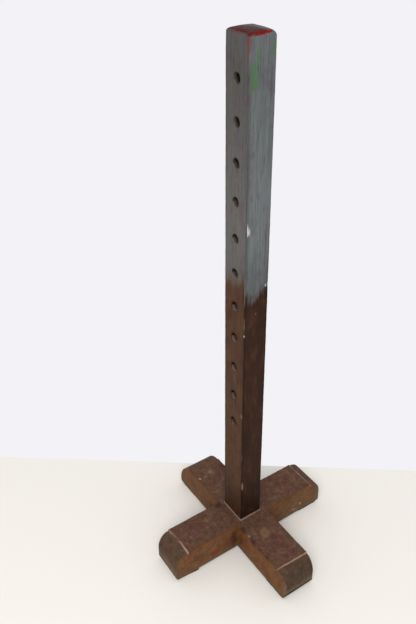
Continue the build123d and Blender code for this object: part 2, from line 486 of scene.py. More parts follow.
# Worn top edges of the arms: share by which they vary, its wavelengths, and the length over which they set in
EASE_SHARE, EASE_WAVES, EASE_START = 0.5, (61, 27, 11, 7), 5
END_EASE = 0.8  # easing of a moulded end's edges, in shares of the set one
HEEL_EASE = (0.8, 0.5, 0.2, 0)  # how that dies out over the heel
LEAST_EASE = 0.04
NOTCH_EASE, NOTCH_DROP = 0.5, 0.6  # worn edge of the lower bar's notch, along and down


def arm_end(settings, length, height):
    """Moulded end of an arm, from the flat top out and down: worn step, quarter ellipse, upright face, heel.

    Quarter ellipse at turn t: along = start + length * sin t, level = low + height * cos t. The heel is a
    quarter circle down to the underside.
    """
    step, foot = settings.step * MM, settings.foot_round * MM
    start = bar_reach - length
    low = bar_top - step - height
    turn = np.linspace(0, np.pi / 2, ROUND_STEPS + 1)
    drops = (0, RISER_EASING, RISER_SHARE * step)
    riser = [(start + along, bar_top - drop) for along, drop in zip(RISER_ALONG, drops)]
    run = start + ROUND_START + (length - ROUND_START) * np.sin(turn)
    curve = np.stack((run, low + height * np.cos(turn)), axis=-1)
    face = [(bar_reach, level) for level in np.linspace(low, bar_bottom + foot, FACE_ROWS + 1)[1:-1]]
    turn = np.linspace(0, np.pi / 2, ARC_STEPS + 1)
    heel = np.stack((bar_reach - foot * (1 - np.cos(turn)), bar_bottom + foot * (1 - np.sin(turn))), axis=-1)
    return np.concatenate((riser, curve, face, heel))


def step_lean(along, across, half_width, mouldings):
    """How far a moulding leans out along its arm at each place, where its step isn't straight across the arm.

    skew * share - bow * (1 - share^2), with share = across / half width. It is full at the step, and fades
    out inwards and towards the arm's end.
    """
    length, skew, bow = [np.where(along < 0, mouldings[0][i], mouldings[1][i]) for i in (0, 2, 3)]
    share = across / half_width
    past = np.abs(along) - bar_reach + length
    fade = np.where(past < 0, smooth(-LEAN_FADE, 0, past), 1 - smooth(0, 1, past / length))
    return np.sign(along) * fade * (skew * share - bow * (1 - share**2))


def half_bar(settings, moulding, notched_below, crossing, mortise):
    """Stations from the bar's middle out to one end: places on the top and on the underside, and edge easing.

    The halving notch is a pair of stations at one place, on the underside for the upper bar and on the top
    for the lower one. mortise gives the mortise's half length at the top and at the underside. Each end wears
    in its own way, seeded by its round's length.
    """
    notch = crossing + SEAM
    inner, inner_under = [
        np.append(np.linspace(0, m, MORTISE_STEPS + 1), np.linspace(m, notch, CROSSING_STEPS + 1)[1:])
        for m in mortise
    ]
    length, height = moulding[:2]
    end = arm_end(settings, length, height)
    flat = np.linspace(notch, end[0, 0], math.ceil((end[0, 0] - notch) / ARM_STEP))
    outer = np.concatenate((flat[:1], flat[:1] + NOTCH_EASE, flat[1:-1]))
    outer_level = np.full(len(outer), bar_top)
    outer_level[0] -= 0 if notched_below else NOTCH_DROP
    inner_level = np.full(len(inner), bar_top if notched_below else lap_level)
    top = np.concatenate((np.stack((inner, inner_level), -1), np.stack((outer, outer_level), -1), end))
    under_along = np.concatenate((inner_under, outer, np.minimum(end[:, 0], end[-1, 0])))
    under_level = np.full(len(top), bar_bottom)
    under_level[: len(inner)] = lap_level if notched_below else bar_bottom
    along, arris = top[:, 0], settings.arris * MM
    wear = 1 + EASE_SHARE * ripple(along, EASE_WAVES, int(length * 10) + notched_below)
    ease = arris * wear * smooth(notch, notch + EASE_START, along)
    ease = np.where(top[:, 1] < bar_top - settings.step * MM / 2, END_EASE * arris, ease)
    ease[: len(inner)] = 0
    ease[-len(HEEL_EASE) :] *= HEEL_EASE
    return top, np.stack((under_along, under_level), -1), np.maximum(ease, LEAST_EASE)


def foot_bar(
    name, settings, half_width, crossing, mouldings, notched_below, mortise, mortise_across, to_frame
):
    """One foot bar: its side profile carried across its width, with worn top edges, a notch and the mortise.

    Across the top edge at turn t: across = half width - ease * (1 - sin t), sunk along the profile's own
    normal by ease * (1 - cos t). The underside is the plain profile, and the sides join the two. mouldings
    gives each end's round length and round height, and its step's skew and bow.
    """
    left, right = [half_bar(settings, m, notched_below, crossing, mortise) for m in mouldings]
    flip = np.array((-1, 1))
    top = np.concatenate((left[0][:0:-1] * flip, right[0]))
    under = np.concatenate((left[1][:0:-1] * flip, right[1]))
    ease = np.concatenate((left[2][:0:-1], right[2]))[:, None]
    tangent = np.gradient(top, axis=0)
    tangent /= np.maximum(np.linalg.norm(tangent, axis=1, keepdims=True), TINY)
    normal = np.stack((-tangent[:, 1], tangent[:, 0]), -1)

    turn = np.linspace(0, np.pi / 2, ARC_STEPS + 1)[1:]
    share = np.linspace(0, 1, TOP_COLUMNS + 1)
    outer = np.append(mortise_across + share * (half_width - mortise_across), np.full(ARC_STEPS, half_width))
    give = np.append(-share, np.sin(turn) - 1)
    sink = np.append(0 * share, 1 - np.cos(turn))
    strip = np.linspace(-mortise_across, mortise_across, MORTISE_COLUMNS + 1)[1:-1]
    line = np.concatenate((-outer[::-1], strip, outer))
    give = np.concatenate((-give[::-1], 0 * strip, give))
    drop = np.concatenate((sink[::-1], 0 * strip, sink)) * ease

    skin_along, skin_level = [top[:, [i]] - normal[:, [i]] * drop for i in (0, 1)]
    skin = np.stack((skin_along, line + give * ease, skin_level), -1)
    skin[..., 0] += step_lean(skin[..., 0], skin[..., 1], half_width, mouldings)
    sole = np.stack(np.broadcast_arrays(under[:, :1], line, under[:, 1:]), -1)

    def place(points):
        """Points of the bar in the shared frame."""
        return np.concatenate((to_frame(points[..., 0], points[..., 1]), points[..., 2:]), axis=-1)

    shell = Shell()
    skin_index, sole_index = shell.add(place(skin)), shell.add(place(sole))
    middle = len(left[0]) - 1
    first, last = len(outer) - 1, len(outer) + len(strip)
    keep = np.ones((len(top) - 1, len(line) - 1), bool)
    keep[middle - MORTISE_STEPS : middle + MORTISE_STEPS, first:last] = False
    shell.quads(skin_index, keep)
    shell.quads(sole_index, keep)
    share = np.linspace(0, 1, SIDE_ROWS)[:, None, None]
    for column in (0, -1):
        shell.quads(shell.add(place((1 - share) * skin[:, column] + share * sole[:, column])))
    rows = np.arange(middle - MORTISE_STEPS, middle + MORTISE_STEPS + 1)
    columns = np.arange(first, last + 1)
    for row in rows[[0, -1]]:
        shell.quads(np.stack((skin_index[row, columns], sole_index[row, columns])))
    for column in columns[[0, -1]]:
        shell.quads(np.stack((skin_index[rows, column], sole_index[rows, column])))
    return shell.build(name, SHARP_WOOD)


# Putty bead: how its width varies, with the wavelengths of that, and its height, in shares of its width
BEAD_VARIES, BEAD_WAVES, BEAD_HEIGHT = 0.3, (83, 41, 19), 0.85

# Felt pads: half of the deepest dent in their outline, its wavelengths, and the length given to each column
PAD_DENT, PAD_WAVES, PAD_COLUMN = 0.25, (90, 37, 17), 3.0
PAD_EDGE = (0, 0.04, 0.14, 0.32, 0.5, 0.68, 0.86, 0.96, 1)  # rows up the edge, in shares of the thickness


def putty_bead(settings, post_settings):
    """Bead round the post's base: a quarter oval carried round the post's plan.

    At turn t it reaches out by width * cos t and up by a share of width * sin t. The width varies round the
    post.
    """
    plan = Ring(post_half, BEAD_COLUMNS).plan(np.full(4, post_settings.arris * MM))
    ahead, behind = np.roll(plan, -1, 0), np.roll(plan, 1, 0)
    outward = (ahead - behind)[:, ::-1] * (1, -1)
    outward /= np.linalg.norm(outward, axis=1, keepdims=True)
    around = np.cumsum(np.linalg.norm(plan - behind, axis=1))
    width = settings.bead * MM * (1 + BEAD_VARIES * ripple(around, BEAD_WAVES, BEAD_SEED))
    turn = np.linspace(0, np.pi / 2, BEAD_STEPS + 1)[:, None]
    out = np.append(np.cos(turn), [[0.0]], 0) * width
    up = np.append(BEAD_HEIGHT * np.sin(turn), [[0.0]], 0) * width
    rows = np.concatenate((plan + out[..., None] * outward, (bar_top + up)[..., None]), axis=-1)
    shell = Shell()
    index = shell.add(rows)
    shell.tube(np.concatenate((index, index[:1])))
    return shell.build("putty_bead", SHARP_SOFT)


def felt_pad(name, centre, half, skew, settings, seed):
    """Felt pad: a rounded rectangle carried up a swelling edge, closed by rows drawn to the middle.

    Edge at share h of the thickness: inset = swell * (2h - 1)^4, and a small dent that varies round the pad.
    """
    plan = Ring(half, FELT_COLUMNS).plan(np.full(4, settings.corner * MM))
    around = np.arange(len(plan)) * PAD_COLUMN
    plan = plan - np.sign(plan) * PAD_DENT * (1 + ripple(around, PAD_WAVES, seed))[:, None]
    level = np.array((0, 0, *PAD_EDGE, 1, 1))[:, None]
    inset = settings.edge_swell * MM * (2 * level - 1) ** 4
    scale = np.array((0, 0.5, *np.ones(len(PAD_EDGE)), 0.5, 0))[:, None, None]
    rows = plan * (1 - inset[..., None] / half) * scale
    turned = rows @ np.array([[np.cos(skew), np.sin(skew)], [-np.sin(skew), np.cos(skew)]])
    height = level * bar_bottom + 0 * turned[..., 0]
    shell = Shell()
    shell.tube(shell.add(np.concatenate((turned + centre, height[..., None]), axis=-1)))
    return shell.build(name, SHARP_SOFT)


def add_node(tree, kind, inputs, out=0, **settings):
    """Adds a shader node with its settings, sets or links its inputs, and gives back one of its outputs."""
    made = tree.nodes.new("ShaderNode" + kind)
    for key, value in settings.items():
        setattr(made, key, value)
    for key, value in inputs.items():
        if isinstance(value, bpy.types.NodeSocket):
            tree.links.new(value, made.inputs[key])
        else:
            made.inputs[key].default_value = value
    return made.outputs[out] if made.outputs else None


def new_material(name):
    """A material with an empty node tree, and that tree."""
    material = bpy.data.materials.new(name)
    material.use_nodes = True
    material.node_tree.nodes.clear()
    return material, material.node_tree


def read_fields(tree, *names):
    """The three outputs of each named attribute, one list for each name."""
    vectors = [add_node(tree, "Attribute", {}, "Vector", attribute_name=name) for name in names]
    return [add_node(tree, "SeparateXYZ", {0: vector}).node.outputs for vector in vectors]


NOISE_RANGE = (0.32, 0.68)  # values of the noise texture that are drawn out to -1 and 1


def noise_field(tree, place, widths, unit, detail=4, offset=0.0):
    """Noise between about -1 and 1, with features of the given widths in millimetres along X, Y and Z."""
    scale = [unit / width for width in widths]
    spot = add_node(tree, "Mapping", {"Vector": place, "Scale": scale, "Location": (offset, offset, offset)})
    noise = add_node(tree, "TexNoise", {"Vector": spot, "Scale": 1, "Detail": detail, "Roughness": 0.6})
    return add_node(tree, "MapRange", {0: noise, 1: NOISE_RANGE[0], 2: NOISE_RANGE[1], 3: -1, 4: 1})


def lay(tree, body, tint, field, low, high, cover):
    """Lays a tint over a colour where a field passes from low to high, up to a cover.

    Share of the tint = cover * smoothstep of the field between low and high. The cover may be a field too.
    """
    mask = add_node(tree, "MapRange", {0: field, 1: low, 2: high, 4: cover}, interpolation_type="SMOOTHSTEP")
    return add_node(tree, "Mix", {0: mask, 6: body, 7: tint}, 2, data_type="RGBA")


def finish_surface(tree, body, roughness, relief, depth, specular=0.08):
    """Principled surface with its bump, of a depth in millimetres, linked to the output."""
    bump = add_node(tree, "Bump", {"Height": relief, "Strength": 0.5, "Distance": depth / MM})
    look = {"Base Color": body, "Roughness": roughness, "Specular IOR Level": specular, "Normal": bump}
    add_node(tree, "OutputMaterial", {"Surface": add_node(tree, "BsdfPrincipled", look)})


def painted_post_wood(settings):
    """Hardwood, stained brown, then brushed with grey paint down to a ragged edge, both dull with age.

    The eye sees upright streaks of brush and grain, a soft paint edge, smears of red and green, and pale
    chips.
    """
    material, tree = new_material("painted_stained_hardwood")
    place = add_node(tree, "TexCoord", {}, "Object")
    zones, marks, rubs, wear = read_fields(tree, "zones", "marks", "rubs", "wear")
    streak = noise_field(tree, place, (2.4, 2.4, 90), MM, 3)
    pores = noise_field(tree, place, (0.9, 0.9, 26), MM, 2)
    blotch = noise_field(tree, place, (12, 12, 26), MM, 5)
    patch = noise_field(tree, place, (9, 9, 20), MM, 4, 7.0)
    grit = noise_field(tree, place, (1.7, 1.7, 2.2), MM, 3)
    ragged = add_node(tree, "Math", {0: blotch, 1: 0.6, 2: streak}, operation="MULTIPLY_ADD")
    mellow = add_node(tree, "Math", {0: streak, 1: 0.4, 2: blotch}, operation="MULTIPLY_ADD")

    stains = {0: zones[1], 6: settings.stain_front, 7: settings.stain_side}
    stain = add_node(tree, "Mix", stains, 2, data_type="RGBA")
    redness = add_node(tree, "Math", {0: zones[1], 1: -0.35, 2: 0.75}, operation="MULTIPLY_ADD")
    stain = lay(tree, stain, settings.stain_red, patch, -0.2, 0.9, redness)
    stain = lay(tree, stain, settings.stain_olive, blotch, -0.1, 1.0, 0.32)
    tone = add_node(tree, "MapRange", {0: mellow, 1: -1.3, 2: 1.3, 3: 0.68, 4: 1.32})
    stain = add_node(tree, "HueSaturation", {"Value": tone, "Color": stain})

    paints = {0: zones[1], 6: settings.paint_front, 7: settings.paint_side}
    paint = add_node(tree, "Mix", paints, 2, data_type="RGBA")
    tone = add_node(tree, "MapRange", {0: ragged, 1: -1.3, 2: 1.3, 3: 0.78, 4: 1.22})
    paint = add_node(tree, "HueSaturation", {"Value": tone, "Color": paint})
    paint = lay(tree, paint, settings.stain_red, patch, 0.0, 1.2, 0.2)
    paint = lay(tree, paint, settings.stain_olive, blotch, 0.1, 1.2, 0.18)
    paint = lay(tree, paint, settings.green_paint, patch, 0.1, -1.1, 0.12)
    paint = lay(tree, paint, stain, pores, 0.35, 1.1, 0.5)

    edge = add_node(tree, "Math", {0: mellow, 1: 0.4, 2: zones[0]}, operation="MULTIPLY_ADD")
    painted = add_node(tree, "MapRange", {0: edge, 1: -1.0, 2: 1.0}, interpolation_type="SMOOTHSTEP")
    body = add_node(tree, "Mix", {0: painted, 6: stain, 7: paint}, 2, data_type="RGBA")

    # Layers of wear from the bottom up: field, tint, how far its border frays, then low, high and cover
    layers = (
        (wear[0], settings.stain_front, 0.5, 0.2, 1.1, 0.6),
        (wear[1], settings.top_grime, 0.4, 0.0, 0.9, 0.95),
        (rubs[1], settings.paint_side, 0.5, 0.05, 0.9, 0.6),
        (marks[1], settings.green_paint, 0.75, 0.05, 1.1, 0.8),
        (wear[2], settings.rust, 0.6, 0.05, 1.0, 0.8),
        (marks[0], settings.red_paint, 0.25, 0.05, 1.0, 0.95),
        (rubs[0], settings.rubbed, 0.45, 0.15, 0.8, 0.8),
        (marks[2], settings.bare_chip, 0.7, 0.2, 0.85, 0.95),
    )
    for field, tint, fray, low, high, cover in layers:
        worn = add_node(tree, "Math", {0: ragged, 1: fray, 2: 1.0}, operation="MULTIPLY_ADD")
        worn = add_node(tree, "Math", {0: field, 1: worn}, operation="MULTIPLY")
        body = lay(tree, body, tint, worn, low, high, cover)
    # Bare wood inside the sockets: in the stained part mostly on their lit floors, as painted light
    body = lay(tree, body, settings.bore, rubs[2], 0.2, 0.8, 0.95)
    # zones[2], the tone, holds the painted light and shade in the sockets and a painted sheen on the top's
    # back half
    body = add_node(tree, "HueSaturation", {"Value": zones[2], "Color": body})

    relief = add_node(tree, "Math", {0: grit, 1: 0.4, 2: streak}, operation="MULTIPLY_ADD")
    gloss = add_node(tree, "MapRange", {0: blotch, 1: -1, 2: 1, 3: 0.5, 4: 0.7})
    finish_surface(tree, body, gloss, relief, 0.25)
    return material


def stained_foot_wood(settings):
    """Hardwood, stained darker on top than on the sides, rubbed, scratched and dusty.

    The eye sees mottled tops with a ragged border at the worn edges, honey-coloured sides with grain along
    each arm, olive moulded ends, pale specks of dust, and pale bare wood along the moulding's step.
    """
    material, tree = new_material("stained_rubbed_hardwood")
    grain = add_node(tree, "Attribute", {}, "Vector", attribute_name="grain")
    faces, marks, grime = read_fields(tree, "faces", "marks", "grime")
    streak = noise_field(tree, grain, (46, 2.4, 2.4), 1, 4)
    cloud = noise_field(tree, grain, (26, 20, 20), 1, 4, 3.0)
    mottle = noise_field(tree, grain, (9, 8, 8), 1, 6)
    smear = noise_field(tree, grain, (5, 12, 5), 1, 6, 11.0)
    grit = noise_field(tree, grain, (1.5, 1.5, 1.5), 1, 3)

    top = lay(tree, settings.stain_top, settings.stain_red, cloud, -0.5, 0.9, 0.8)
    top = lay(tree, top, settings.stain_grey, smear, 0.1, 1.3, 0.6)
    side = lay(tree, settings.stain_side, settings.stain_top, cloud, -0.3, 1.2, 0.6)
    side = lay(tree, side, settings.ochre, smear, 0.0, 1.3, 0.6)
    side = lay(tree, side, settings.dirt, streak, 0.1, 1.4, 0.6)
    end = lay(tree, settings.stain_end, settings.stain_red, mottle, -0.3, 1.0, 0.4)
    end = lay(tree, end, settings.stain_grey, smear, 0.2, 1.3, 0.7)
    end = lay(tree, end, settings.dirt, cloud, 0.0, 1.4, 0.5)

    border = add_node(tree, "Math", {0: smear, 1: 0.3, 2: faces[1]}, operation="MULTIPLY_ADD")
    top = lay(tree, top, end, border, 0.2, 0.8, 1.0)
    border = add_node(tree, "Math", {0: mottle, 1: 0.22, 2: faces[0]}, operation="MULTIPLY_ADD")
    body = lay(tree, side, top, border, 0.4, 0.6, 1.0)
    shade = add_node(tree, "Math", {0: grit, 1: 0.35, 2: mottle}, operation="MULTIPLY_ADD")
    tone = add_node(tree, "MapRange", {0: shade, 1: -1.4, 2: 1.4, 3: 0.62, 4: 1.38})
    # faces[2], the tone, holds painted shade towards the underside and on the moulded ends' heels
    tone = add_node(tree, "Math", {0: tone, 1: faces[2]}, operation="MULTIPLY")
    body = add_node(tree, "HueSaturation", {"Value": tone, "Color": body})

    dust = add_node(tree, "Math", {0: cloud, 1: 0.35, 2: grit}, operation="MULTIPLY_ADD")
    body = lay(tree, body, settings.bare_line, dust, 0.85, 1.4, 0.55)
    fray = add_node(tree, "Math", {0: smear, 1: 0.3, 2: 1.0}, operation="MULTIPLY_ADD")
    worn = [add_node(tree, "Math", {0: field, 1: fray}, operation="MULTIPLY") for field in marks[:3]]
    soiled = [add_node(tree, "Math", {0: field, 1: fray}, operation="MULTIPLY") for field in grime[:2]]
    body = lay(tree, body, settings.olive, soiled[0], 0.1, 1.1, 0.8)
    body = lay(tree, body, settings.red_stain, soiled[1], 0.1, 0.9, 0.8)
    body = lay(tree, body, settings.rubbed, worn[1], 0.1, 0.9, 0.8)
    body = lay(tree, body, settings.dirt, worn[2], 0.1, 0.9, 0.7)
    body = lay(tree, body, settings.bare_line, worn[0], 0.3, 0.8, 0.9)

    relief = add_node(tree, "Math", {0: grit, 1: 0.5, 2: mottle}, operation="MULTIPLY_ADD")
    gloss = add_node(tree, "MapRange", {0: smear, 1: -1, 2: 1, 3: 0.5, 4: 0.75})
    finish_surface(tree, body, gloss, relief, 0.35)
    return material


def plain_grain(name, tint):
    """Bare sawn wood or dry putty: one colour with fine upright grain and a dull surface."""
    material, tree = new_material(name)
    place = add_node(tree, "TexCoord", {}, "Object")
    streak = noise_field(tree, place, (1.2, 1.2, 30), MM)
    grit = noise_field(tree, place, (2, 2, 2), MM)
    shade = add_node(tree, "Math", {0: streak, 1: grit}, operation="ADD")
    tone = add_node(tree, "MapRange", {0: shade, 1: -1.6, 2: 1.6, 3: 0.65, 4: 1.25})
    body = add_node(tree, "HueSaturation", {"Value": tone, "Color": tint})
    finish_surface(tree, body, 0.75, streak, 0.2)
    return material


def pressed_felt(settings):
    """Pressed wool felt: matted fibres, drawn a little coarse, flecked with brown dust, with no gloss."""
    material, tree = new_material("pressed_wool_felt")
    place = add_node(tree, "TexCoord", {}, "Object")
    soil = read_fields(tree, "soil")[0]
    fibres = noise_field(tree, place, (0.9, 0.9, 0.6), MM, 5)
    mats = noise_field(tree, place, (7, 7, 4), MM)
    border = add_node(tree, "Math", {0: mats, 1: 0.3, 2: soil[0]}, operation="MULTIPLY_ADD")
    body = lay(tree, settings.felt, settings.dust, border, 0.1, 0.9, 1.0)
    shade = add_node(tree, "Math", {0: fibres, 1: mats}, operation="ADD")
    tone = add_node(tree, "MapRange", {0: shade, 1: -1.6, 2: 1.6, 3: 0.6, 4: 1.4})
    body = add_node(tree, "HueSaturation", {"Value": tone, "Color": body})
    finish_surface(tree, body, 0.95, fibres, 0.5, 0.1)
    return material


def dress(piece, material, slot, *nodes):
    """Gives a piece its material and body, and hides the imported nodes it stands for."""
    piece.data.materials.clear()
    piece.data.materials.append(material)
    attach(piece, BODY)
    if nodes:
        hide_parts(*nodes)


# Marks on the post, as (centre, radii, strength); most lie on the right face or its front edge
right, back = post_half
front = -back
RED_MARKS = [
    ((right - 2, -5, post_top - 3.0), (4.2, 15, 3.2), 1.3),
    ((right - 2, 8, post_top - 2.5), (4, 9, 2.4), 1.2),
    ((-3, front + 2.2, post_top - 3.6), (25, 4, 3.4), 0.52),
    ((right - 3, front + 3, post_top - 3), (6, 6, 3.2), 0.9),
]
GREEN_MARKS = [
    ((right, -11, 753), (3, 7, 16), 0.85),
    ((right, -13, 766), (3, 5, 14), 0.8),
    ((right, -7, 764), (3, 6, 16), 0.6),
    ((right, -6, 781), (3, 5, 12), 0.6),
    ((right, 16, 787), (3, 4.5, 12), 0.5),
    ((right, 11, 768), (3, 6, 9), 0.2),
]
RUST_MARKS = [
    ((right - 2, front, post_top - 9), (6, 6, 7), 0.9),
    ((right - 1.2, front, post_top - 14), (3.6, 2.6, 14), 1.0),
    ((right, front, post_top - 40), (2.2, 1.8, 26), 0.35),
]
CHIP_MARKS = [
    ((right, -15.6, 571), (3, 2.3, 12), 1.0),
    ((right, -14.2, 569), (3, 2.2, 9), 0.8),
    ((right, -9, 571), (3, 4, 7), 0.22),
    ((right, 17, 482), (3, 5.5, 3.6), 1.4),
    ((right, front, 412), (1.4, 1.4, 3), 1.0),
    ((right, 0, 443), (2, 1.2, 1.2), 0.8),
]
RUB_MARKS = [
    ((right, front, 473), (1.1, 1.1, 21), 0.9),
    ((right, front, 430), (0.9, 0.9, 18), 1.2),
    ((right - 2.6, front, 269), (3.6, 2.0, 6.5), 0.5),
    ((right, -16.8, 128), (3, 2.8, 12), 0.95),
    ((right, front, 187), (1.0, 1.0, 10), 0.7),
    ((right, front, 330), (0.7, 0.7, 40), 0.4),
]
HAZE_MARKS = [
    ((right, -8, 465), (3, 12, 11), 0.45),
    ((0, front, 486), (16, 3, 10), 0.2),
    ((1, front, 270), (5, 3, 26), 0.32),
    ((1, front, 320), (5, 3, 26), 0.32),
]

# Lower edge of the paint: places across the right and the front face, and its levels there
PAINT_EDGE_RIGHT = (-17, -12.5, -5, 4, 5.6, 17.7), (477, 472, 467, 472, 480, 480)
PAINT_EDGE_FRONT = (-18.5, -10, 5, 10, 16), (485, 489, 489, 495, 501)
PAINT_EDGE_LEFT, PAINT_EDGE_BACK = 480, 482  # mean levels on the other faces, where it is wavy
PAINT_WAVE, PAINT_WAVES = 8, (60, 23)
PAINT_SOFTNESS, FRONT_SOFTER = 13, 2  # height over which it fades, and how much more on the front and back

# Painted light and shade in the sockets by depth behind the face: tone, and lift of the floor's lip, a wall
# and the roof's lip
SOCKET_SHADE_BY_DEPTH = (0, 0.4, 1.1, 2.0, 3.1, 5.0, 6.4), (1, 0.62, 0.62, 0.9, 0.8, 0.5, 0.36)
FLOOR_LIP_LIGHT_BY_DEPTH = (0, 0.4, 1.1, 2.0), (0, 0.3, 0.25, 0)
WALL_LIGHT_BY_DEPTH = (0.4, 1.2, 3.0, 4.5), (0, 1, 1, 0)
ROOF_LIP_LIGHT_BY_DEPTH = (0.1, 0.4, 1.1, 2.0), (0, 1, 1, 0)
DEEP_END_SHADE = (2.8, 5)  # depths over which the deep end sets in

# The same by level: painted gloom under the roof, painted gloom of the whole bore, and the height where its
# lit floor starts
ROOF_GLOOM = (300, 400, 450, 500, 600, 650, 700, 750), (0.34, 0.05, 0.0, 0.78, 0.55, 0.49, 0.0, 0.12)
BORE_GLOOM = (480, 520, 620, 750), (0.1, 0.35, 0.4, 0.5)
LIT_FROM, LIT_FADE = ((620, 750), (0.1, -0.25)), 0.6  # in shares of the socket's radius
STAINED_SOCKETS = (500, 480)  # the sockets below are stained
HIGH_SOCKETS = (680, 710)  # the two highest sockets are above
LIGHTER_LIT_FLOORS = (260, 290)  # the stained sockets above show more bare wood on their lit floors, which is painted light

# Soft dark places on the post: levels over which they set in, their middles and their widths
FOOT_SHADE, TOP_SHADE, THIN_PAINT = (50, 170), (560, 780), (560, 490)
REAR_BORDER, FORE_BORDER = (4, 18), 2.2  # on the right face
CLOUD_Y, CLOUD_LEVEL, CLOUD_WIDTH, CLOUD_HEIGHT = -12, 235, 7, 55
MOUTH_HALO = 2.5
RUN_X, RUN_WIDTH, RUN_TOP, RUN_BOTTOM = 1, 4, (345, 325), (235, 250)
TOP_CORNER_IN, TOP_CORNER_WIDTH, TOP_CORNER_DROP = 3, 6, (7, 4)
RIM_BY_LEVEL, RIM_WIDTH = ((470, 500), (0.36, 0.04)), 2.8
STRIP_BY_LEVEL = (480, 540, 650, 700, 760, 785), (0.0, 0.45, 0.4, 0.25, 0.25, 0.0)
STRIP_IN, STRIP_WIDTH = 1.2, 2

# Warm wear of the post's long edges, and of a band along the right of the front face
WARM_EDGE = 1.6
WARM_BAND, BAND_START, BAND_STOP = (13, 20), (565, 605), (735, 690)


def paint_edge(x, y):
    """Level of the paint's lower edge: straight between points on the faces that show, wavy on the others."""
    on_left = PAINT_EDGE_LEFT + PAINT_WAVE * ripple(y, PAINT_WAVES, PAINT_SEED)
    on_back = PAINT_EDGE_BACK + PAINT_WAVE * ripple(x, PAINT_WAVES, PAINT_SEED + 1)
    levels = (np.interp(y, *PAINT_EDGE_RIGHT), on_left, np.interp(x, *PAINT_EDGE_FRONT))
    return np.select((x > right - 1, x < 1 - right, y < 0), levels, on_back)


def socket_painted_shading(level, depth, lit, stained):
    """Tone inside the sockets, by level and by depth behind the nearest face. It is 1 on the face.

    Painted light and shade: lit is 1 on a bore's floor, where the key light falls, and 0 under its roof. The
    tone falls with depth, with a lighter lip on the floor, and is darker under the roof and in the painted
    part. Stained and high sockets have a darker deep end, high ones a lighter wall, and stained ones a
    lighter lip under the roof.
    """
    high = smooth(*HIGH_SOCKETS, level)
    roof = 1 - lit
    tone = np.interp(depth, *SOCKET_SHADE_BY_DEPTH) + lit * np.interp(depth, *FLOOR_LIP_LIGHT_BY_DEPTH)
    tone *= 1 - np.interp(level, *ROOF_GLOOM) * roof * smooth(0.1, 0.6, depth)
    tone *= 1 - np.interp(level, *BORE_GLOOM) * smooth(0.3, 1, depth)
    tone *= 1 - (0.3 * stained + 0.35 * high) * smooth(*DEEP_END_SHADE, depth)
    tone *= 1 + 0.4 * high * np.interp(depth, *WALL_LIGHT_BY_DEPTH)
    return tone + 0.35 * stained * roof * np.interp(depth, *ROOF_LIP_LIGHT_BY_DEPTH)


def face_tone(x, y, level, side, edge):
    """Tone of the post's faces: a product of soft dark places, each 1 - strength * how far it has set in.

    ends: towards the foot and towards the top. thin: paint worn thin above its lower edge. rear and fore: the
    borders of the right face. cloud: the stain of the sides, most of all in one place low on them.
    """
    on_right, in_stain = side * (x > 0), level < edge
    ends = (0.62 + 0.38 * smooth(*FOOT_SHADE, level)) * (1 - (0.3 - 0.12 * side) * smooth(*TOP_SHADE, level))
    thin = 1 - (0.08 + 0.18 * side) * smooth(*THIN_PAINT, level) * (level > edge)
    rear = 1 - (0.1 + 0.12 * in_stain) * on_right * smooth(*REAR_BORDER, y)
    fore = 1 - 0.35 * on_right * in_stain * bell(y - front, FORE_BORDER)
    cloud = bell(y - CLOUD_Y, CLOUD_WIDTH) * bell(level - CLOUD_LEVEL, CLOUD_HEIGHT)
    return ends * thin * rear * fore * (1 - (0.06 + 0.28 * cloud) * side * in_stain)


